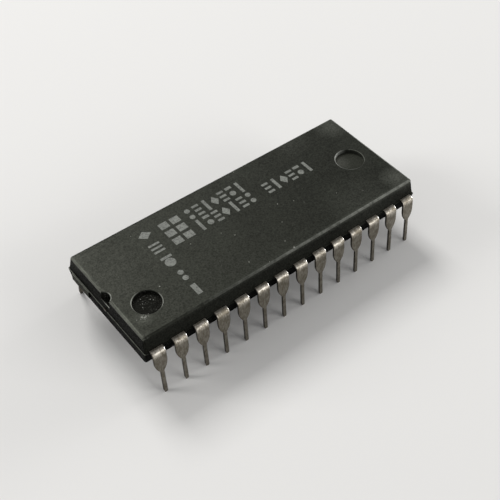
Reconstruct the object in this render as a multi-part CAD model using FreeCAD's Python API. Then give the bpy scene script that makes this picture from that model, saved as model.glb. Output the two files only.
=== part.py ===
import FreeCAD, Part
import math
import os

from FreeCAD import Vector

os.makedirs("parts", exist_ok=True)

# A 28-lead plastic dual-in-line package, in millimetres. The lead tips stand on
# Z = 0, X runs along the package from the notched end, and the origin is on the
# floor under the middle of the body.

# Lead rows
leads_per_row = 14
lead_pitch = 2.54
strip_thickness = 0.25

# Outer lead: wide shoulder, curved taper, narrow leg
lead_width = 1.54
leg_width = 0.47
leg_length = 3.15
taper_height = 1.45
tip_chamfer = 0.09
tip_chamfer_height = 0.3
shoulder_reach = 0.51
bend_inner_radius = 0.25
lead_splay = 5.2

# Moulded body
end_overhang = 1.32
body_width = 14.14
underside_clearance = 4.18
lower_half = 1.69
upper_half = 1.865
end_draft = 5.0
side_draft = 12.0
mould_step = 0.09
top_edge_radius = 0.22
bottom_edge_radius = 0.15
corner_radius = 0.25

# Marks in the body
notch_radius = 0.78
notch_depth = 1.0
index_diameter = 3.02
index_depth = 0.4
index_from_end = 3.11
index_from_middle = 3.06
pin_mark_diameter = 3.2
pin_mark_depth = 0.42
pin_mark_from_end = 3.35
gate_width = 3.6
gate_height = 1.05
gate_from_middle = 4.5
gate_proud = 0.12
gate_taper = 0.2

# Lead frame inside the body
root_inset = 0.93
neck_length = 0.5
neck_width = 0.56
finger_width = 0.36
finger_gap = 0.34
paddle_gap = 0.35
end_fingers = 3
end_landing = 0.55
side_landing = 0.2
landing_stagger = 0.45
tie_bar_width = 0.5
downset = 0.25
downset_run = 0.4
paddle_margin = 0.7

# Silicon die, its adhesive and the bond wires
die_length = 3.6
die_width = 3.4
die_thickness = 0.38
attach_margin = 0.1
attach_thickness = 0.03
bond_pad_inset = 0.12
bond_pad_pitch = 0.45
bond_pad_start = 0.35
wire_diameter = 0.03
ball_diameter = 0.09
ball_height = 0.03
loop_rise = 0.2
loop_shoulder = 0.12
stitch_length = 0.08
stitch_inset = 0.15

# Levels and plan sizes that follow from the values above
parting_z = underside_clearance + lower_half
frame_top = parting_z + strip_thickness / 2
frame_bottom = frame_top - strip_thickness
body_bottom = underside_clearance
body_top = parting_z + upper_half
row_half = (leads_per_row - 1) / 2 * lead_pitch
body_length = 2 * (row_half + end_overhang)
finger_pitch = finger_width + finger_gap
paddle_length = die_length + 2 * paddle_margin
paddle_width = die_width + 2 * paddle_margin
paddle_top = frame_top - downset
attach_top = paddle_top + attach_thickness
die_top = attach_top + die_thickness
ring_x = paddle_length / 2 + paddle_gap
ring_y = paddle_width / 2 + paddle_gap
root_y = body_width / 2 - root_inset
neck_y = root_y - neck_length
first_end_finger = (tie_bar_width + finger_width) / 2 + finger_gap


def polygon_face(points):
    return Part.Face(Part.makePolygon(points + points[:1]))


def plate(outline, bottom, thickness):
    """Upright prism over a plan outline given as (x, y) pairs."""
    face = polygon_face([Vector(x, y, bottom) for x, y in outline])
    return face.extrude(Vector(0, 0, thickness))


def box_about(length, width, bottom, height, centre_x=0, centre_y=0):
    corner = Vector(centre_x - length / 2, centre_y - width / 2, bottom)
    return Part.makeBox(length, width, height, corner)


def rectangle(length, width, z):
    x, y = length / 2, width / 2
    corners = [Vector(-x, -y, z), Vector(x, -y, z), Vector(x, y, z), Vector(-x, y, z)]
    return Part.makePolygon(corners + corners[:1])


def fillet_where(solid, radius, wanted):
    return solid.makeFillet(radius, [edge for edge in solid.Edges if wanted(edge)])


def mould_half(inset, height, edge_radius):
    """One drafted half of the body; a negative height makes the lower one."""
    length, width = body_length - 2 * inset, body_width - 2 * inset
    end_lean = abs(height) * math.tan(math.radians(end_draft))
    side_lean = abs(height) * math.tan(math.radians(side_draft))
    far_z = parting_z + height
    half = Part.makeLoft([rectangle(length, width, parting_z),
                          rectangle(length - 2 * end_lean, width - 2 * side_lean, far_z)],
                         True, True)
    half = fillet_where(half, corner_radius, lambda edge: edge.BoundBox.ZLength > abs(height) / 2)
    return fillet_where(half, edge_radius,
                        lambda edge: abs(edge.BoundBox.ZMin - far_z) < 1e-6
                        and abs(edge.BoundBox.ZMax - far_z) < 1e-6)


def gate_remnant():
    """Low broken-off stub of the moulding gate, under the parting line."""
    wires = []
    for x, shrink in ((-body_length / 2 + end_overhang / 2, 0.0),
                      (-body_length / 2 - gate_proud, gate_taper)):
        y0 = gate_from_middle - gate_width / 2 + shrink
        y1 = gate_from_middle + gate_width / 2 - shrink
        z0, z1 = parting_z - gate_height + shrink, parting_z
        ring = [Vector(x, y0, z0), Vector(x, y1, z0), Vector(x, y1, z1), Vector(x, y0, z1)]
        wires.append(Part.makePolygon(ring + ring[:1]))
    return Part.makeLoft(wires, True, True)


def sunk_disc(diameter, depth, x, y, surface, into):
    """Round cutter that sinks a depth into a face; into is +1 or -1 along Z."""
    return Part.makeCylinder(diameter / 2, 2 * depth, Vector(x, y, surface - into * depth),
                             Vector(0, 0, into))


def body_form():
    form = mould_half(mould_step, upper_half, top_edge_radius)
    form = form.fuse([mould_half(0, -lower_half, bottom_edge_radius), gate_remnant()])
    form = form.removeSplitter()
    half = body_length / 2
    mark_x = half - pin_mark_from_end
    cutters = [
        Part.makeCylinder(notch_radius, 2 * notch_depth, Vector(-half, 0, body_top - notch_depth)),
        sunk_disc(index_diameter, index_depth, index_from_end - half, -index_from_middle, body_top, 1),
        sunk_disc(pin_mark_diameter, pin_mark_depth, mark_x, 0, body_top, 1),
        sunk_disc(pin_mark_diameter, pin_mark_depth, mark_x, 0, body_bottom, -1),
        sunk_disc(pin_mark_diameter, pin_mark_depth, -mark_x, 0, body_bottom, -1),
    ]
    return form.cut(cutters)


def bend_section():
    """Side view of the bent lead in the YZ plane, from the bend start to the tip."""
    splay = math.radians(lead_splay)
    turn = math.pi / 2 - splay
    outer_radius = bend_inner_radius + strip_thickness
    down = Vector(0, math.sin(splay), -math.cos(splay))
    outward = Vector(0, math.cos(splay), math.sin(splay))
    face_y = body_width / 2 + shoulder_reach
    corner_y = face_y - math.tan(splay) * strip_thickness / 2
    start_y = corner_y - outer_radius * math.tan(turn / 2)
    centre = Vector(0, start_y, frame_top - outer_radius)
    middle = Vector(0, math.sin(turn / 2), math.cos(turn / 2))

    def bend_points(radius):
        return [centre + Vector(0, 0, radius), centre + middle * radius, centre + outward * radius]

    outer, inner = bend_points(outer_radius), bend_points(bend_inner_radius)
    tips = [point + down * (point.z / math.cos(splay)) for point in (outer[2], inner[2])]
    return Part.Face(Part.Wire([
        Part.Arc(*outer).toShape(),
        Part.makeLine(outer[2], tips[0]),
        Part.makeLine(tips[0], tips[1]),
        Part.makeLine(tips[1], inner[2]),
        Part.Arc(*inner[::-1]).toShape(),
        Part.makeLine(inner[0], outer[0]),
    ])), start_y


def front_outline():
    """Front view of one outer lead in the XZ plane, centred on X = 0."""
    wide, narrow = lead_width / 2, leg_width / 2
    taper_top = leg_length + taper_height
    inset = wide - narrow
    radius = (inset ** 2 + taper_height ** 2) / (2 * inset)
    half_sweep = math.asin(taper_height / radius) / 2
    bulge_x = wide - radius + radius * math.cos(half_sweep)
    bulge_z = taper_top - radius * math.sin(half_sweep)
    right = [(narrow - tip_chamfer, 0), (narrow, tip_chamfer_height), (narrow, leg_length)]
    arc = [(narrow, leg_length), (bulge_x, bulge_z), (wide, taper_top)]
    crown = frame_top + strip_thickness

    def at(point, side):
        return Vector(side * point[0], 0, point[1])

    edges = []
    for side in (1, -1):
        edges += [Part.makeLine(at(a, side), at(b, side)) for a, b in zip(right, right[1:])]
        edges.append(Part.Arc(*[at(point, side) for point in arc]).toShape())
        edges.append(Part.makeLine(at(arc[2], side), Vector(side * wide, 0, crown)))
    edges.append(Part.makeLine(at(right[0], -1), at(right[0], 1)))
    edges.append(Part.makeLine(Vector(-wide, 0, crown), Vector(wide, 0, crown)))
    return Part.Face(Part.Wire(Part.__sortEdges__(edges)))


def finger_route(x, order):
    """Centre line and half widths of an inner finger, from its neck to its tip."""
    if order < end_fingers:
        tip = (ring_x, first_end_finger + order * finger_pitch)
        landing = (ring_x + end_landing, tip[1])
    else:
        tip = (x / lead_pitch * finger_pitch, ring_y)
        landing = (tip[0], ring_y + side_landing + landing_stagger * (order - end_fingers))
    points = [Vector(x, root_y, 0), Vector(x, neck_y, 0), Vector(*landing, 0), Vector(*tip, 0)]
    return points, [neck_width / 2, neck_width / 2, finger_width / 2, finger_width / 2]


def ribbon(points, half_widths):
    """Outline of a band about a centre line, with mitred turns."""
    left, right = [], []
    for i, point in enumerate(points):
        before = (point - points[i - 1]).normalize() if i else None
        after = (points[i + 1] - point).normalize() if i < len(points) - 1 else None
        along = ((before or after) + (after or before)).normalize()
        side = Vector(-along.y, along.x, 0)
        stretch = half_widths[i] / along.dot(after or before)
        left.append(((point + side * stretch).x, (point + side * stretch).y))
        right.append(((point - side * stretch).x, (point - side * stretch).y))
    return left + right[::-1]


def lead_solid(x, order):
    """One stamped and bent lead of the +Y row at a distance x from the middle."""
    section, bend_y = bend_section()
    bent = section.extrude(Vector(lead_width, 0, 0))
    bent.translate(Vector(-lead_width / 2, 0, 0))
    front = front_outline().extrude(Vector(0, body_width, 0))
    bent = bent.common(front)
    bent.translate(Vector(x, 0, 0))
    shoulder = box_about(lead_width, bend_y - root_y, frame_bottom, strip_thickness,
                         x, (bend_y + root_y) / 2)
    finger = plate(ribbon(*finger_route(x, order)), frame_bottom, strip_thickness)
    return bent.fuse([shoulder, finger]).removeSplitter()


def bond_wire(x, order):
    """Gold wire from a bond pad on the die to the finger of one lead, square in section."""
    route, _ = finger_route(x, order)
    tip, landing = route[-1], route[-2]
    stitch = tip + (landing - tip).normalize() * stitch_inset
    if order < end_fingers:
        pad = Vector(die_length / 2 - bond_pad_inset, bond_pad_start + order * bond_pad_pitch, 0)
    else:
        pad = Vector(x / lead_pitch * bond_pad_pitch, die_width / 2 - bond_pad_inset, 0)
    along = (stitch - pad).normalize()
    across = Vector(-along.y, along.x, 0)
    ball_top = die_top + ball_height
    low = frame_top + wire_diameter / 2
    spine = Part.makePolygon([
        pad + Vector(0, 0, ball_top),
        pad + Vector(0, 0, ball_top + loop_rise),
        pad + along * loop_shoulder + Vector(0, 0, ball_top + loop_rise + loop_shoulder / 2),
        stitch + Vector(0, 0, low),
        stitch + along * stitch_length + Vector(0, 0, low),
    ])

    def square(centre, size):
        turns = ((1, 1), (-1, 1), (-1, -1), (1, -1))
        corners = [centre + (across * i + along * j) * (size / 2) for i, j in turns]
        return Part.makePolygon(corners + corners[:1])

    sweep = Part.BRepOffsetAPI.MakePipeShell(spine)
    sweep.setTransitionMode(1)
    sweep.add(square(pad + Vector(0, 0, ball_top), wire_diameter))
    sweep.build()
    sweep.makeSolid()
    ball = Part.Face(square(pad + Vector(0, 0, die_top), ball_diameter))
    ball = ball.extrude(Vector(0, 0, ball_height))
    return sweep.shape().fuse(ball).removeSplitter()


def paddle():
    """Die paddle, set down below the leads, with a tie bar to each end face."""
    low = paddle_top - strip_thickness
    edge = paddle_length / 2
    bend = edge + downset_run
    reach = body_length / 2
    solids = [box_about(paddle_length, paddle_width, low, strip_thickness)]
    for side in (1, -1):
        outline = [(edge, low), (bend, frame_bottom), (reach, frame_bottom),
                   (reach, frame_top), (bend, frame_top), (edge, paddle_top)]
        face = polygon_face([Vector(side * px, -tie_bar_width / 2, pz) for px, pz in outline])
        solids.append(face.extrude(Vector(0, tie_bar_width, 0)))
    return solids[0].fuse(solids[1:]).removeSplitter()


def lead_places():
    """For each lead in pin order: its number, X place, side of the row, and order from the end."""
    last = leads_per_row - 1
    for number in range(1, 2 * leads_per_row + 1):
        near = number <= leads_per_row
        column = number - 1 if near else 2 * leads_per_row - number
        yield number, (column - last / 2) * lead_pitch, -1 if near else 1, min(column, last - column)


def placed(maker, x, side, order):
    """Make a piece for the +X +Y quarter and mirror it to its own quarter."""
    piece = maker(abs(x), order)
    if x < 0:
        piece = piece.mirror(Vector(0, 0, 0), Vector(1, 0, 0))
    if side < 0:
        piece = piece.mirror(Vector(0, 0, 0), Vector(0, 1, 0))
    return piece


pieces = {
    "die_paddle": paddle(),
    "die_attach": box_about(die_length + 2 * attach_margin, die_width + 2 * attach_margin,
                            paddle_top, attach_thickness),
    "silicon_die": box_about(die_length, die_width, attach_top, die_thickness),
}
for number, x, side, order in lead_places():
    pieces[f"lead_{number:02d}"] = placed(lead_solid, x, side, order)
    pieces[f"bond_wire_{number:02d}"] = placed(bond_wire, x, side, order)

# The moulding compound fills all the space round the pieces that it holds.
pieces["moulded_body"] = body_form().cut(list(pieces.values()))

for name, shape in pieces.items():
    solid, = shape.Solids
    solid.exportStep(f"parts/{name}.step")
    print(name, round(solid.Volume, 4), solid.isValid())
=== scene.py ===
import math
import random

import bmesh
import bpy
from mathutils import Matrix, Vector, noise


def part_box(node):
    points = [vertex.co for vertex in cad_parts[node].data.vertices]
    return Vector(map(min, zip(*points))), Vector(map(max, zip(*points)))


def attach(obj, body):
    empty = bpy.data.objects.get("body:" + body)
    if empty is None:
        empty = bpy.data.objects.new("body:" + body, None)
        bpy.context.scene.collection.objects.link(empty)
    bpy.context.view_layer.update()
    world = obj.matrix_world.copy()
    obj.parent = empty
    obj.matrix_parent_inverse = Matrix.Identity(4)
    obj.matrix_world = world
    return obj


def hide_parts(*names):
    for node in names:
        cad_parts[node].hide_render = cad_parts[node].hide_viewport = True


# Dual-in-line logic chip: black moulded body, two rows of tinned leads.
# Sizes here are in millimetres unless a note says otherwise.

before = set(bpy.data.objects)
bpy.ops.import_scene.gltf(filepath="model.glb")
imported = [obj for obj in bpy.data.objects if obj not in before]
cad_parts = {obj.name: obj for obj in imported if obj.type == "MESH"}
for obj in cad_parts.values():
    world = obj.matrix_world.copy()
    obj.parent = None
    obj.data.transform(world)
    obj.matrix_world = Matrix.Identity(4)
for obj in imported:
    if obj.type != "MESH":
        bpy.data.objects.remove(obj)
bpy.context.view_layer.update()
mm = 0.001
print("frame loaded:", len(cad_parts), "nodes")


# Camera, at the angle of the reference view.
cameraSettings = {
    "azimuth": -38.49,       # degrees, 0 looks along +Y
    "elevation": 47.76,
    "roll": 0.28,
    "distance": 98.41,
    "target": (-0.6, -1.22, 4.0),
    "focalPixels": 920.7,    # on a picture 500 pixels wide
    "pictureWidth": 500,
    "sensorWidth": 36,
    "clip": (0.001, 10),     # in metres
}


def addCamera(s):
    turn, rise = math.radians(s["azimuth"]), math.radians(s["elevation"])
    back = Vector((math.sin(turn) * math.cos(rise), -math.cos(turn) * math.cos(rise), math.sin(rise)))
    right = (-back).cross(Vector((0, 0, 1))).normalized()
    up = right.cross(-back)
    tip = Matrix.Rotation(math.radians(s["roll"]), 3, back)
    right, up = tip @ right, tip @ up
    data = bpy.data.cameras.new("viewCamera")
    data.sensor_width = s["sensorWidth"]
    data.lens = s["sensorWidth"] * s["focalPixels"] / s["pictureWidth"]
    data.clip_start, data.clip_end = s["clip"]
    camera = bpy.data.objects.new("viewCamera", data)
    bpy.context.scene.collection.objects.link(camera)
    axes = Matrix((right, up, back)).transposed().to_4x4()
    place = (Vector(s["target"]) + back * s["distance"]) * mm
    camera.matrix_world = Matrix.Translation(place) @ axes
    bpy.context.scene.camera = camera


addCamera(cameraSettings)
print("camera set")


# Small builders for shader nodes.
def newMaterial(name):
    mat = bpy.data.materials.new(name)
    mat.use_nodes = True
    return mat, mat.node_tree, mat.node_tree.nodes["Principled BSDF"]


def objectPoint(tree, stretch=(1, 1, 1), turn=(0, 0, 0)):
    where = tree.nodes.new("ShaderNodeTexCoord")
    mapping = tree.nodes.new("ShaderNodeMapping")
    mapping.inputs["Scale"].default_value = stretch
    mapping.inputs["Rotation"].default_value = [math.radians(angle) for angle in turn]
    tree.links.new(where.outputs["Object"], mapping.inputs["Vector"])
    return mapping.outputs["Vector"]


def noiseOf(tree, point, grain, detail=3, roughness=0.55):
    # grain is the size of a blotch in millimetres
    tex = tree.nodes.new("ShaderNodeTexNoise")
    tex.inputs["Scale"].default_value = 1 / (grain * mm)
    tex.inputs["Detail"].default_value = detail
    tex.inputs["Roughness"].default_value = roughness
    tree.links.new(point, tex.inputs["Vector"])
    return tex.outputs["Fac"]


def remap(tree, value, low, high, toLow, toHigh):
    node = tree.nodes.new("ShaderNodeMapRange")
    node.inputs["From Min"].default_value = low
    node.inputs["From Max"].default_value = high
    node.inputs["To Min"].default_value = toLow
    node.inputs["To Max"].default_value = toHigh
    tree.links.new(value, node.inputs["Value"])
    return node.outputs["Result"]


def mixColour(tree, factor, first, second):
    node = tree.nodes.new("ShaderNodeMix")
    node.data_type = "RGBA"
    for socket, colour in ((node.inputs["A"], first), (node.inputs["B"], second)):
        if isinstance(colour, tuple):
            socket.default_value = (*colour, 1)
        else:
            tree.links.new(colour, socket)
    tree.links.new(factor, node.inputs["Factor"])
    return node.outputs["Result"]


def mathOf(tree, kind, first, second):
    node = tree.nodes.new("ShaderNodeMath")
    node.operation = kind
    for socket, value in zip(node.inputs, (first, second)):
        if isinstance(value, (int, float)):
            socket.default_value = value
        else:
            tree.links.new(value, socket)
    return node.outputs["Value"]


def addBump(tree, shader, height, depth, strength=1.0, under=None):
    # depth in millimetres
    bump = tree.nodes.new("ShaderNodeBump")
    bump.inputs["Strength"].default_value = strength
    bump.inputs["Distance"].default_value = depth * mm
    tree.links.new(height, bump.inputs["Height"])
    if under:
        tree.links.new(under, bump.inputs["Normal"])
    tree.links.new(bump.outputs["Normal"], shader.inputs["Normal"])
    return bump.outputs["Normal"]


# Materials. The values are linear, the grain sizes in millimetres.
compound = {
    "dark": (0.0048, 0.0051, 0.0038),
    "pale": (0.0125, 0.0138, 0.0105),
    "paleSpecksAndSpots": (0.075, 0.078, 0.066),
    "rubAndSheen": (0.13, 0.135, 0.115),
    "grainSize": 0.17,
    "grainDepth": 0.020,
    "blotchSize": 5.0,
    "roughness": (0.42, 0.52),
    "specular": (0.13, 0.31),
    "sheen": (0.97, 1.0, 0.80),
    "shade": (0.15, 0.38),         # blotch times grain, from dark to pale
    "mottleSize": 0.17,            # the gloss changes in spots of this size
    "mottleShade": (0.32, 0.68),
    "rubSize": 0.9,                # long faint rubs that only change the gloss
    "rubStretch": (0.3, 1.0, 1.0),
    "rubShade": (0.16, 0.36),
    "speckSize": 0.16,             # sparse pale specks, as dust caught in the grain
    "speckFrom": 0.735,
    "speckStep": 0.065,
    "patchSize": 3.1,
    "patchShade": (0.45, 0.62),
    "breakShade": (0.3, 0.7),      # the grain breaks up smudges and bands, down to these shares
    "spotLeast": 0.35,
    "bandLeast": 0.4,
    # place, reach and strength of each pale spot; those on the round marks' rims and in the dish are painted
    # highlights
    "paleSpotPlaces": [(16.5, -5.3, 7.7, 2.0, 0.95), (16.6, 5.6, 7.7, 2.4, 0.85), (-16.1, -4.5, 7.7, 1.1, 0.7),
                (11.5, -6.0, 7.7, 5.0, 0.22), (-17.2, 5.9, 7.7, 1.6, 0.30), (2.4, 6.2, 7.7, 1.2, 0.15),
                (11.0, 6.3, 7.7, 2.6, 0.35)],
    # rubbed bands with painted highlight, paler towards the far end: axis, where one starts, where it is
    # full, strength at either end of the body
    "rubAndSheenBands": [("Y", -6.1, -6.5, 0.05, 0.3), ("X", -17.1, -17.4, 0.2, 0.2), ("X", -17.70, -17.73, 0.9, 0.9)],
    "runAlong": (-16.0, 17.0),     # X between which a strength runs from the notch end to the far end
    "notchRim": (-16.7, -17.2),    # X from which the rim at the notch end takes its full painted highlight again
}


def splitPoint(tree, point):
    split = tree.nodes.new("ShaderNodeSeparateXYZ")
    tree.links.new(point, split.inputs["Vector"])
    return split.outputs


def spotFalloff(tree, point, place, reach):
    # 1 at a place, falling to 0 at its reach
    far = tree.nodes.new("ShaderNodeVectorMath")
    far.operation = "DISTANCE"
    tree.links.new(point, far.inputs[0])
    far.inputs[1].default_value = [value * mm for value in place]
    return remap(tree, far.outputs["Value"], 0, reach * mm, 1, 0)


def runAlongBody(tree, point, s, nearNotch, farEnd):
    start, full = s["runAlong"]
    return remap(tree, splitPoint(tree, point)["X"], start * mm, full * mm, nearNotch, farEnd)


def makeCompound(s, name):
    mat, tree, shader = newMaterial(name)
    point = objectPoint(tree)
    blotch = noiseOf(tree, point, s["blotchSize"], 4)
    grain = noiseOf(tree, point, s["grainSize"], 4, 0.65)
    amount = remap(tree, mathOf(tree, "MULTIPLY", blotch, grain), *s["shade"], 0, 1)
    # painted highlight: the rims are painted paler towards the far end, and fully pale again at the notch
    # end
    if "paleShare" in s:
        run = runAlongBody(tree, point, s, *s["paleShare"])
        start, full = s["notchRim"]
        end = remap(tree, splitPoint(tree, point)["X"], full * mm, start * mm, 1, 0)
        amount = mathOf(tree, "MULTIPLY", amount, mathOf(tree, "MAXIMUM", run, end))
    colour = mixColour(tree, amount, s["dark"], s["pale"])
    speck = noiseOf(tree, point, s["speckSize"], 1)
    speck = remap(tree, speck, s["speckFrom"], s["speckFrom"] + s["speckStep"], 0, 1)
    patch = remap(tree, noiseOf(tree, point, s["patchSize"], 2), *s["patchShade"], 0, 1)
    colour = mixColour(tree, mathOf(tree, "MULTIPLY", speck, patch), colour, s["paleSpecksAndSpots"])
    # pale spots; on the round marks' rims and in the dish they are painted highlights
    for x, y, z, reach, strength in s["paleSpotPlaces"]:
        broken = remap(tree, grain, *s["breakShade"], s["spotLeast"], 1)
        soft = mathOf(tree, "MULTIPLY", spotFalloff(tree, point, (x, y, z), reach), broken)
        colour = mixColour(tree, mathOf(tree, "MULTIPLY", soft, strength), colour, s["paleSpecksAndSpots"])
    # painted highlight bands along the rubbed edges
    for axis, start, full, nearNotch, farEnd in s["rubAndSheenBands"]:
        band = remap(tree, splitPoint(tree, point)[axis], start * mm, full * mm, 0, 1)
        band = mathOf(tree, "MULTIPLY", band, runAlongBody(tree, point, s, nearNotch, farEnd))
        broken = remap(tree, grain, *s["breakShade"], s["bandLeast"], 1)
        colour = mixColour(tree, mathOf(tree, "MULTIPLY", band, broken), colour, s["rubAndSheen"])
    tree.links.new(colour, shader.inputs["Base Color"])
    rubAndSheen = noiseOf(tree, objectPoint(tree, s["rubStretch"]), s["rubSize"], 5, 0.7)
    rubAndSheen = remap(tree, mathOf(tree, "MULTIPLY", rubAndSheen, blotch), *s["rubShade"], *s["roughness"])
    tree.links.new(rubAndSheen, shader.inputs["Roughness"])
    mottle = noiseOf(tree, point, s["mottleSize"], 2, 0.7)
    mottle = remap(tree, mottle, *s["mottleShade"], *s["specular"])
    tree.links.new(mottle, shader.inputs["Specular IOR Level"])
    shader.inputs["Specular Tint"].default_value = (*s["sheen"], 1)
    addBump(tree, shader, grain, s["grainDepth"])
    return mat


tin = {
    "plate": (0.60, 0.56, 0.49),
    "stain": (0.26, 0.23, 0.18),
    "bladeShade": (0.096, 0.087, 0.066),
    "shadeBelow": (5.75, 5.2),      # painted shade starts and is full at these heights: the blades are painted darker below the bend
    "shadeShare": 0.75,
    "tip": (0.17, 0.157, 0.13),
    "tipBelow": (1.6, 0.2),        # the tips have lost some of their plating
    "tipShare": 0.75,
    "shade": (0.19, 0.32),         # streak times blotch, where stain turns to plate
    "glossShade": (0.15, 0.4),
    "blotchSize": 0.6,
    "dentDepth": 0.016,
    "streakSize": 0.10,
    "streakStretch": (1.0, 1.0, 0.18),
    "streakTurn": (0, 32, 0),
    "roughness": (0.38, 0.55),
    "grainDepth": 0.003,
}


def makeTin(s, name):
    mat, tree, shader = newMaterial(name)
    point = objectPoint(tree)
    streak = noiseOf(tree, objectPoint(tree, s["streakStretch"], s["streakTurn"]), s["streakSize"], 3)
    blotch = noiseOf(tree, point, s["blotchSize"], 4)
    both = mathOf(tree, "MULTIPLY", streak, blotch)
    colour = mixColour(tree, remap(tree, both, *s["shade"], 0, 1), s["stain"], s["plate"])
    up = splitPoint(tree, point)["Z"]
    # painted shade: the blades are painted darker below the bend
    start, full = s["shadeBelow"]
    bladeShade = remap(tree, up, full * mm, start * mm, s["shadeShare"], 0)
    colour = mixColour(tree, bladeShade, colour, s["bladeShade"])
    start, full = s["tipBelow"]
    worn = remap(tree, up, full * mm, start * mm, s["tipShare"], 0)
    colour = mixColour(tree, mathOf(tree, "MULTIPLY", worn, blotch), colour, s["tip"])
    tree.links.new(colour, shader.inputs["Base Color"])
    shader.inputs["Metallic"].default_value = 1
    low, high = s["roughness"]
    tree.links.new(remap(tree, both, *s["glossShade"], high, low), shader.inputs["Roughness"])
    dents = addBump(tree, shader, blotch, s["dentDepth"])
    addBump(tree, shader, streak, s["grainDepth"], under=dents)
    return mat


# paler tone, darker tone, roughness and size of a blotch
innerMetals = {
    "frameCopper": ((0.72, 0.42, 0.28), (0.5, 0.27, 0.17), 0.35, 0.8),
    "bondGold": ((0.95, 0.68, 0.28), (0.85, 0.58, 0.2), 0.2, 0.05),
    "polishedSilicon": ((0.30, 0.32, 0.38), (0.22, 0.24, 0.32), 0.12, 0.6),
    "silverAdhesive": ((0.6, 0.6, 0.58), (0.42, 0.42, 0.40), 0.5, 0.1),
}
metalGrain = {"shade": (0.35, 0.65), "depth": 0.003}
tieBarEnds = {
    "reach": (17.2, 17.7),         # |X| between which a tie bar's cut end has tarnished
    "tarnish": (0.035, 0.028, 0.02),
}


def makeMetal(name, ends=None):
    pale, dark, roughness, blotchSize = innerMetals[name]
    mat, tree, shader = newMaterial(name)
    point = objectPoint(tree)
    blotch = noiseOf(tree, point, blotchSize, 3)
    mixed = mixColour(tree, remap(tree, blotch, *metalGrain["shade"], 0, 1), dark, pale)
    if ends:
        start, full = ends["reach"]
        away = mathOf(tree, "ABSOLUTE", splitPoint(tree, point)["X"], 0)
        mixed = mixColour(tree, remap(tree, away, start * mm, full * mm, 0, 1), mixed, ends["tarnish"])
    tree.links.new(mixed, shader.inputs["Base Color"])
    shader.inputs["Metallic"].default_value = 1
    shader.inputs["Roughness"].default_value = roughness
    addBump(tree, shader, blotch, metalGrain["depth"])
    return mat


ink = {
    "worn": (0.035, 0.036, 0.030),
    "full": (0.175, 0.182, 0.159),
    "wearSize": 0.22,
    "wearShade": (0.36, 0.56, 0.25, 1),    # noise from and to, ink left from and to
    "cloudSize": 2.2,
    "cloudShade": (0.3, 0.6, 0.72, 1),
    "roughness": 0.62,
    "depth": 0.006,
}


def makeInk(s):
    mat, tree, shader = newMaterial("markingInk")
    point = objectPoint(tree)
    paleShare = noiseOf(tree, point, s["wearSize"], 4, 0.7)
    cloud = noiseOf(tree, point, s["cloudSize"], 2)
    kept = remap(tree, paleShare, *s["wearShade"])
    kept = mathOf(tree, "MULTIPLY", kept, remap(tree, cloud, *s["cloudShade"]))
    tree.links.new(mixColour(tree, kept, s["worn"], s["full"]), shader.inputs["Base Color"])
    shader.inputs["Roughness"].default_value = s["roughness"]
    addBump(tree, shader, paleShare, s["depth"])
    return mat


looseDust = {"dark": (0.16, 0.165, 0.14), "pale": (0.42, 0.42, 0.38), "cloudSize": 0.3, "roughness": 0.8}


def makeDust(s):
    mat, tree, shader = newMaterial("paleDust")
    cloud = noiseOf(tree, objectPoint(tree), s["cloudSize"], 2)
    tree.links.new(mixColour(tree, cloud, s["dark"], s["pale"]), shader.inputs["Base Color"])
    shader.inputs["Roughness"].default_value = s["roughness"]
    return mat


# What each kind of face changes in the compound.
# painted highlight: the bevelled rims are painted much paler than the top
rimHighlight = dict(compound, dark=(0.014, 0.015, 0.012), pale=(0.18, 0.185, 0.165), grainSize=0.5, paleSpotPlaces=(),
                 grainDepth=0.004, roughness=(0.40, 0.50), specular=(0.18, 0.36), paleShare=(0.05, 1.0), rubAndSheenBands=())
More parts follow.
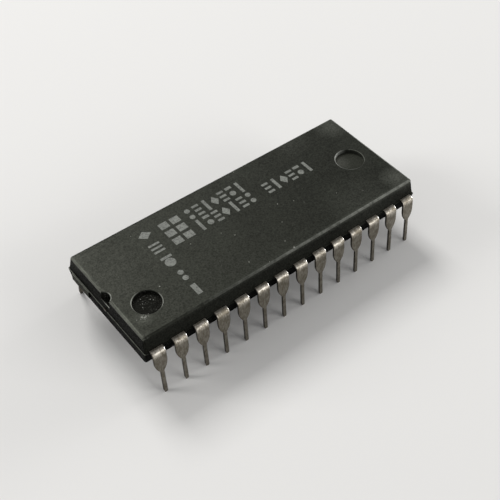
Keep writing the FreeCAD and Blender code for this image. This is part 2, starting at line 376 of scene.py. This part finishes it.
# painted shade: the flanks are painted darker than the top, with a painted highlight band along their top
# edge, paler towards the far end
flank = dict(compound, dark=(0.0026, 0.0028, 0.0021), pale=(0.007, 0.0076, 0.006), roughness=(0.5, 0.6),
             specular=(0.04, 0.14), rubAndSheen=(0.20, 0.205, 0.18), rubAndSheenBands=[("Z", 7.2, 7.55, 0.02, 0.3)])
compoundFinishes = {
    "mouldingCompound": compound,
    # painted highlight on the rounded near top edge and the plain rims, paler towards the far end
    "highlightedRim": dict(
        rimHighlight, dark=(0.008, 0.0085, 0.0065), specular=(0.06, 0.16), rubAndSheen=(0.20, 0.205, 0.182),
        rubAndSheenBands=[("X", -11.0, 17.0, 1.0, 0.95)]),
    # painted shade: the floors of the index recess and the notch are painted much darker than the top; the
    # pale specks are grit
    "recessCompound": dict(
        compound, dark=(0.0006, 0.0006, 0.0005), pale=(0.012, 0.012, 0.010), paleSpecksAndSpots=(0.06, 0.06, 0.054),
        speckFrom=0.62, grainSize=0.16, grainDepth=0.06, roughness=(0.65, 0.85), specular=(0.02, 0.14),
        rubAndSheenBands=()),
    "brokenCompound": dict(
        compound, dark=(0.008, 0.008, 0.006), pale=(0.026, 0.027, 0.021), grainSize=0.12, grainDepth=0.05,
        roughness=(0.6, 0.8), specular=(0.05, 0.2), rubAndSheenBands=()),
    "flankCompound": flank,
    # painted shade: below the parting line the body is painted near black
    "undersideCompound": dict(
        compound, dark=(0.0008, 0.0009, 0.0007), pale=(0.0028, 0.003, 0.0024), roughness=(0.55, 0.7),
        specular=(0.0, 0.04), rubAndSheenBands=()),
    # the rims of the round marks carry painted highlights, pale on the side away from the first lead and
    # beside the notch
    "indexRim": dict(
        rimHighlight, paleSpecksAndSpots=(0.42, 0.43, 0.38),
        paleSpotPlaces=[(-16.0, -2.1, 7.7, 1.5, 1.0), (-13.4, -3.8, 7.7, 1.2, 0.8), (-17.2, -0.45, 7.7, 1.0, 1.0),
                 (-17.75, -0.4, 6.73, 0.9, 0.7)]),
    # painted shade: the dish wall is painted darker than the rims, with painted highlights on its left wall
    # and lower rim
    "dishRim": dict(
        rimHighlight, dark=(0.010, 0.011, 0.009), pale=(0.02, 0.02, 0.017), paleSpecksAndSpots=(0.62, 0.63, 0.58),
        paleSpotPlaces=[(13.05, 1.0, 7.45, 2.2, 1.0), (13.45, -1.25, 7.7, 1.3, 0.4)]),
    # the dish floor is paler than the top, with a painted light patch on its left part
    "dishFloor": dict(
        compound, dark=(0.013, 0.0138, 0.0105), pale=(0.023, 0.0243, 0.019), paleSpecksAndSpots=(0.13, 0.13, 0.115),
        paleSpotPlaces=[(13.2, 0.7, 7.31, 1.7, 0.5)], rubAndSheenBands=()),
    # painted shade: the end faces are painted darker than the flanks
    "endCompound": dict(
        flank, dark=(0.0012, 0.0013, 0.001), pale=(0.004, 0.0044, 0.0034), specular=(0.0, 0.06)),
    # painted highlight: the rounded top edge at the notch end is painted pale
    "endRim": dict(
        rimHighlight, dark=(0.045, 0.047, 0.039), pale=(0.105, 0.11, 0.092), paleShare=(1.0, 1.0)),
}
leadFinishes = {
    "tinPlate": tin,
    # painted shade: the cut sides are painted dark
    "shadedCutSide": dict(
        tin, plate=(0.11, 0.10, 0.09), stain=(0.045, 0.038, 0.032), tip=(0.09, 0.08, 0.07),
        bladeShade=(0.05, 0.043, 0.036)),
    # painted highlight: the rolled edge on the far side is painted much paler than the plate
    "highlightedRolledEdge": dict(
        tin, plate=(0.92, 0.90, 0.86), stain=(0.62, 0.59, 0.54), roughness=(0.08, 0.16), dentDepth=0.003),
}
compoundMats = [makeCompound(values, name) for name, values in compoundFinishes.items()]
leadMats = [makeTin(values, name) for name, values in leadFinishes.items()]
copperMat = makeMetal("frameCopper", tieBarEnds)
goldMat = makeMetal("bondGold")
siliconMat = makeMetal("polishedSilicon")
attachMat = makeMetal("silverAdhesive")
inkMat = makeInk(ink)
dustMat = makeDust(looseDust)
print("materials made:", len(bpy.data.materials))


# Mesh helpers: modelled in millimetres, stored in metres.
def storeMesh(bm, name, finishes, smoothAngle=40):
    bmesh.ops.recalc_face_normals(bm, faces=bm.faces)
    for face in bm.faces:
        face.smooth = True
    limit = math.radians(smoothAngle)
    for edge in bm.edges:
        if len(edge.link_faces) == 2 and edge.calc_face_angle(0) > limit:
            edge.smooth = False
    bmesh.ops.scale(bm, vec=(mm, mm, mm), verts=bm.verts)
    mesh = bpy.data.meshes.new(name)
    bm.to_mesh(mesh)
    bm.free()
    for finish in finishes:
        mesh.materials.append(finish)
    piece = bpy.data.objects.new(name, mesh)
    bpy.context.scene.collection.objects.link(piece)
    # flat faces keep flat shading beside their rounded edges
    weigh = piece.modifiers.new("weighted", "WEIGHTED_NORMAL")
    weigh.keep_sharp = True
    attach(piece, "root")
    return piece


def meshOfNode(node):
    # merged copy of a node's mesh, in millimetres, its flat faces joined
    bm = bmesh.new()
    bm.from_mesh(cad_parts[node].data)
    bmesh.ops.scale(bm, vec=(1 / mm, 1 / mm, 1 / mm), verts=bm.verts)
    bmesh.ops.remove_doubles(bm, verts=bm.verts, dist=0.0005)
    bmesh.ops.recalc_face_normals(bm, faces=bm.faces)
    bmesh.ops.dissolve_limit(bm, angle_limit=math.radians(0.5), verts=bm.verts, edges=bm.edges)
    return bm


def bevelEdges(bm, edges, width, steps, clamp=True):
    made = bmesh.ops.bevel(bm, geom=edges, offset=width, offset_type="OFFSET", segments=steps, profile=0.5,
                           affect="EDGES", clamp_overlap=clamp, material=-1)
    return made["faces"]


def sharpEdges(bm, angle, wanted=lambda edge: True):
    limit = math.radians(angle)
    return [e for e in bm.edges if len(e.link_faces) == 2 and e.calc_face_angle(0) > limit and wanted(e)]


def middleOf(edge):
    return (edge.verts[0].co + edge.verts[1].co) / 2


def finishFaces(bm, finishes, kindOf):
    # kindOf names a face's finish, which becomes its place in the list of materials
    order = list(finishes)
    for face in bm.faces:
        face.material_index = order.index(kindOf(face))


# Leads: the CAD blades with rolled edges.
leadLook = {
    "edgeRound": 0.05,    # stamped edges, slightly rolled by the plating
    "dieRound": 0.12,     # the outer edge that the stamping die has drawn round
    "tipHeight": 1.2,     # edges that lie wholly below this keep the tip's own chamfer
    "edgeSteps": 3,
    "sharpAngle": 35,
    "outside": 6.9,       # |Y| beyond which a lead can be seen
}


def makeLead(node, s):
    bm = meshOfNode(node)
    edges = sharpEdges(bm, s["sharpAngle"], lambda e: min(abs(v.co.y) for v in e.verts) > s["outside"])

    def drawnRound(edge):
        # on the outer skin, at the side away from the notch
        row = math.copysign(1, middleOf(edge).y)
        skin = max(face.normal.z + face.normal.y * row for face in edge.link_faces)
        return skin > 0.5 and max(face.normal.x for face in edge.link_faces) > 0.4

    edges = [edge for edge in edges if max(v.co.z for v in edge.verts) > s["tipHeight"]]
    drawn = [edge for edge in edges if drawnRound(edge)]
    plain = [edge for edge in edges if edge not in drawn]
    bevelEdges(bm, drawn, s["dieRound"], s["edgeSteps"], False)
    plain = [edge for edge in plain if edge.is_valid]
    bevelEdges(bm, plain, s["edgeRound"], s["edgeSteps"], False)

    def kindOf(face):
        # stamped cut sides are painted dark as painted shade; the rolled round beside the far one is painted
        # pale as a painted highlight
        if face.normal.x < -0.5 or face.normal.x > 0.9:
            return "shadedCutSide"
        return "highlightedRolledEdge" if face.normal.x > 0.25 else "tinPlate"

    finishFaces(bm, leadFinishes, kindOf)
    piece = storeMesh(bm, "tin_" + node, leadMats)
    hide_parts(node)
    return piece


for node in sorted(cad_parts):
    if node.startswith("lead_"):
        makeLead(node, leadLook)
print("leads made")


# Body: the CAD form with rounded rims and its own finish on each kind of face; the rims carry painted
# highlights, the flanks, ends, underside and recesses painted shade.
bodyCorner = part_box("moulded_body")[1]
bodyEnd, bodyTop = bodyCorner[0] / mm, bodyCorner[2] / mm
bodyLook = {
    "rimRound": 0.08,
    "rimSteps": 3,
    "sharpAngle": 50,
    "near": 0.02,          # what lies within this of a level is taken to be on it
    "top": bodyTop,
    "endX": bodyEnd,
    "indexPlace": (-14.68, -3.06), "indexRadius": 1.51, "indexDeepest": 0.5,
    "notchX": -17.64, "notchRadius": 0.78, "notchDepth": 1.0, "notchRound": 0.14,
    "gateX": -17.86,       # what stands further out is the broken gate
    "topRound": 0.23,      # height of the moulded top edge
    "dishPlace": (14.44, 0.0), "dishRadius": 1.6, "dishRound": 0.08,
    "partingZ": 5.86,
}


def makeBody(s):
    bm = meshOfNode("moulded_body")
    floorZ = s["top"] - s["notchDepth"]

    def onRim(edge):
        middle = middleOf(edge)
        sill = abs(middle.z - floorZ) < 0.01 and abs(middle.y) < s["notchRadius"] and middle.x < s["notchX"]
        return min(v.co.z for v in edge.verts) > s["top"] - s["near"] or sill

    def onDish(edge):
        return (middleOf(edge).xy - Vector(s["dishPlace"])).length < s["dishRadius"] + 0.05

    def onNotch(edge):
        middle = middleOf(edge)
        away = Vector((middle.x + s["endX"], middle.y)).length
        return middle.z > s["top"] - s["near"] and away < s["notchRadius"] + 0.05

    rims = sharpEdges(bm, s["sharpAngle"], onRim)
    dish = [edge for edge in rims if onDish(edge)]
    notch = [edge for edge in rims if onNotch(edge)]
    rims = [edge for edge in rims if edge not in dish and edge not in notch]
    bevelEdges(bm, dish, s["dishRound"], s["rimSteps"])
    rimFaces = set(bevelEdges(bm, notch, s["notchRound"], s["rimSteps"]))
    rims = [edge for edge in rims if edge.is_valid]
    rimFaces.update(bevelEdges(bm, rims, s["rimRound"], s["rimSteps"]))

    def kindOf(face):
        place = face.calc_center_median()
        x, y, z = place
        below = z < s["top"] - 0.01
        toIndex = (place.xy - Vector(s["indexPlace"])).length
        inDish = (place.xy - Vector(s["dishPlace"])).length < s["dishRadius"] + s["dishRound"]
        notchEnd = s["notchX"] + s["notchRadius"]
        inNotch = abs(y) < s["notchRadius"] + 0.01 and x < notchEnd + 0.01
        nearNotch = abs(y) < s["notchRadius"] + 0.15 and x < notchEnd + 0.15
        if inDish and below and z > s["partingZ"] - 0.5 and face.normal.z > 0.99:
            return "dishFloor"
        if inDish and z > s["partingZ"] and face.normal.z < 0.99:
            return "dishRim"
        # bevelled rims take painted highlights
        if face in rimFaces:
            return "indexRim" if toIndex < s["indexRadius"] + 0.1 or nearNotch else "highlightedRim"
        # painted shade in the index recess and the notch
        if below and z > s["top"] - s["indexDeepest"] and toIndex < s["indexRadius"]:
            return "recessCompound"
        if inNotch and below and z > floorZ - s["near"] and face.normal.x > -0.9:
            return "recessCompound"
        if max(v.co.x for v in face.verts) < s["gateX"]:
            return "brokenCompound"
        # the rounded top edge is painted pale as a highlight at the notch end and the near side, and dark as
        # painted shade at the far end and far side
        if z > s["top"] - s["topRound"] and 0.15 < face.normal.z < 0.99:
            if face.normal.x < -0.15:
                return "endRim"
            return "flankCompound" if face.normal.x > 0.3 or face.normal.y > 0.15 else "highlightedRim"
        # painted shade below the parting line, on the ends and on the flanks
        if z < s["partingZ"]:
            return "undersideCompound"
        if abs(face.normal.x) > 0.8:
            return "endCompound"
        return "flankCompound" if abs(face.normal.z) < 0.5 else "mouldingCompound"

    finishFaces(bm, compoundFinishes, kindOf)
    piece = storeMesh(bm, "bodyShell", compoundMats)
    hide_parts("moulded_body")
    return piece


makeBody(bodyLook)
print("body made, top at", round(bodyTop, 3))


# The inner pieces keep their own meshes.
innerFinish = {"die_paddle": copperMat, "die_attach": attachMat, "silicon_die": siliconMat}
for node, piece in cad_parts.items():
    finish = goldMat if node.startswith("bond_wire_") else innerFinish.get(node)
    if finish:
        for slot in piece.material_slots:
            slot.material = finish
print("inner pieces finished")


# Marking: plain shapes in pale ink.
marking = {
    "lift": 0.006,         # thickness of the ink
    "columnX": -9.98,
    "columnY": (4.4, 2.2, 0.0, -2.4, -4.65),
    "columnCells": ("diamond", "dashes", "pin", "dots", "slab"),
    "columnSize": (1.3, 1.45),
    "blockX": -6.95, "blockY": 3.02, "blockSize": (2.6, 3.6),
    "lineStart": -4.55, "linePitch": 1.1,
    "lineOneY": 4.02, "lineTwoY": 2.05,
    "lineTwoGap": 9.02,    # the second group starts this far after the first
    "lineCells": ("dots", "dashes", "slab", "diamond", "dashes", "pin", "slab"),
    "cellSize": (0.80, 1.7),
}


def placed(x, y, z, width, height, depth):
    return Matrix.Translation((x, y, z)) @ Matrix.Diagonal((width, height, depth, 1))


def bar(bm, x, y, z, width, height, depth):
    bmesh.ops.create_cube(bm, size=1, matrix=placed(x, y, z, width, height, depth))


def disc(bm, x, y, z, width, height, depth, sides=20):
    bmesh.ops.create_cone(bm, cap_ends=True, segments=sides, radius1=0.5, radius2=0.5, depth=1,
                          matrix=placed(x, y, z, width, height, depth))


def addCell(bm, kind, x, y, width, height, z, depth):
    # each kind of cell fills about its width and height
    third = height / 3
    if kind == "dots":
        size = min(width * 0.78, height * 0.44)
        for step in (-1, 1):
            disc(bm, x, y + step * third * 0.9, z, size, size, depth)
    elif kind == "dashes":
        for step in (-1, 0, 1):
            bar(bm, x, y + step * height * 0.38, z, width, height * 0.18, depth)
    elif kind == "slab":
        bar(bm, x, y, z, width * 0.45, height, depth)
    elif kind == "diamond":
        disc(bm, x, y, z, width * 1.2, height * 0.8, depth, 4)
    elif kind == "pin":
        bar(bm, x, y + third * 1.15, z, width, height * 0.22, depth)
        disc(bm, x, y - third * 0.5, z, width * 0.9, width * 0.9, depth)


def makeMarking(name, cells, s, top):
    bm = bmesh.new()
    for cell in cells:
        addCell(bm, *cell, top + s["lift"] / 2, s["lift"])
    piece = storeMesh(bm, name, [inkMat])
    return piece


def makeMarkings(s, top):
    width, height = s["columnSize"]
    column = [(kind, s["columnX"], y, width, height) for kind, y in zip(s["columnCells"], s["columnY"])]
    makeMarking("inkColumn", column, s, top)
    width, height = s["blockSize"]
    block = [("slab", s["blockX"] + side * width * 0.27, s["blockY"] + step * height * 0.36,
              width * 0.9, height * 0.25) for side in (-1, 1) for step in (-1, 0, 1)]
    makeMarking("inkBlock", block, s, top)

    def line(kinds, startX, y):
        return [(kind, startX + i * s["linePitch"], y, *s["cellSize"]) for i, kind in enumerate(kinds)]

    kinds = s["lineCells"]
    makeMarking("inkLineOne", line(kinds, s["lineStart"], s["lineOneY"]), s, top)
    groups = line(kinds[::-1], s["lineStart"], s["lineTwoY"])
    groups += line(kinds[1:], s["lineStart"] + s["lineTwoGap"], s["lineTwoY"])
    makeMarking("inkLineTwo", groups, s, top)


makeMarkings(marking, bodyTop)
print("marking made")


# Dust on the top and grit in the index recess.
specks = {
    # place on the top, then size
    "paleSpecksAndSpots": [(-12.65, -2.19, 0.065), (3.68, -0.49, 0.055), (2.36, -2.84, 0.05), (-2.63, -1.28, 0.045),
             (1.06, -6.35, 0.085), (0.88, -5.11, 0.045), (5.35, -1.19, 0.04), (6.09, -2.0, 0.035),
             (9.74, -3.12, 0.04), (-3.8, -5.09, 0.045), (-2.15, -6.35, 0.04), (3.03, 6.3, 0.045),
             (-6.96, 0.52, 0.045), (-3.6, -0.2, 0.035), (12.2, -4.6, 0.035), (-11.2, 5.2, 0.035)],
    # count, middle, spread along X and Y, smallest and largest grain
    "grit": (11, (-14.68, -2.75), (0.5, 0.3), (0.015, 0.05)),
    "scuff": (46, (-16.0, -4.45), (0.20, 0.13), (0.012, 0.036)),
    "indexDepth": 0.4,
    "lumps": (0.5, 1.6),   # how strong and how many
    "seed": 5,
}


def scatter(chance, count, middle, spread, sizes):
    places = []
    for step in range(count):
        x, y = chance.gauss(middle[0], spread[0]), chance.gauss(middle[1], spread[1])
        places.append((x, y, chance.uniform(*sizes)))
    return places


def makeSpecks(name, places, level, flatness):
    # rounded crumbs, each a lumpy ball pressed flat
    bm = bmesh.new()
    strength, count = specks["lumps"]
    for x, y, size in places:
        made = bmesh.ops.create_icosphere(bm, subdivisions=2, radius=size)
        for vert in made["verts"]:
            lump = 1 + strength * noise.noise(vert.co * (count / size) + Vector((x, y, 0)))
            vert.co = Vector((vert.co.x * lump, vert.co.y * lump, vert.co.z * flatness * lump))
        bmesh.ops.translate(bm, verts=made["verts"], vec=(x, y, level))
    piece = storeMesh(bm, name, [dustMat])
    return piece


chance = random.Random(specks["seed"])
makeSpecks("dustSpecks", specks["paleSpecksAndSpots"], bodyTop, 0.5)
makeSpecks("indexGrit", scatter(chance, *specks["grit"]), bodyTop - specks["indexDepth"], 0.6)
makeSpecks("indexScuff", scatter(chance, *specks["scuff"]), bodyTop, 0.12)
print("dust and grit made")


# Floor, lamps and world. Distances here are in metres.
paperFloor = {"halfWidth": 2.0, "colour": (0.72, 0.71, 0.69), "roughness": 0.9, "specular": 0.2}
lamps = {
    # direction from the object, distance, width and height, power in watts
    "backLamp": ((0.05, 0.68, 0.73), 0.6, (0.22, 0.22), 2.1),
    "sideLamp": ((0.42, -0.80, 0.40), 0.7, (0.45, 0.26), 1.5),
    "leftWindow": ((-0.74, 0.53, 0.42), 0.7, (0.25, 0.25), 1.9),
    "rightWindow": ((0.95, -0.08, 0.24), 0.7, (0.42, 0.14), 2.0),
}
room = {"colour": (0.97, 0.98, 1.0), "strength": 0.36}


def addFloor(s):
    bm = bmesh.new()
    bmesh.ops.create_grid(bm, x_segments=1, y_segments=1, size=s["halfWidth"])
    mesh = bpy.data.meshes.new("floor")
    bm.to_mesh(mesh)
    bm.free()
    mat, tree, shader = newMaterial("floorPaper")
    shader.inputs["Base Color"].default_value = (*s["colour"], 1)
    shader.inputs["Roughness"].default_value = s["roughness"]
    shader.inputs["Specular IOR Level"].default_value = s["specular"]
    mesh.materials.append(mat)
    floor = bpy.data.objects.new("floor", mesh)
    bpy.context.scene.collection.objects.link(floor)


def addSoftLight(name, direction, distance, size, power):
    data = bpy.data.lights.new(name, "AREA")
    data.shape = "RECTANGLE"
    data.size, data.size_y = size
    data.energy = power
    light = bpy.data.objects.new(name, data)
    light.location = Vector(direction).normalized() * distance
    light.rotation_euler = Vector(direction).to_track_quat("Z", "Y").to_euler()
    bpy.context.scene.collection.objects.link(light)


def setWorld(s):
    world = bpy.data.worlds.new("softRoom")
    bpy.context.scene.world = world
    world.use_nodes = True
    background = world.node_tree.nodes["Background"]
    background.inputs["Color"].default_value = (*s["colour"], 1)
    background.inputs["Strength"].default_value = s["strength"]


addFloor(paperFloor)
for name, values in lamps.items():
    addSoftLight(name, *values)
setWorld(room)
bpy.context.scene.view_settings.view_transform = "Standard"
print("floor and light set")
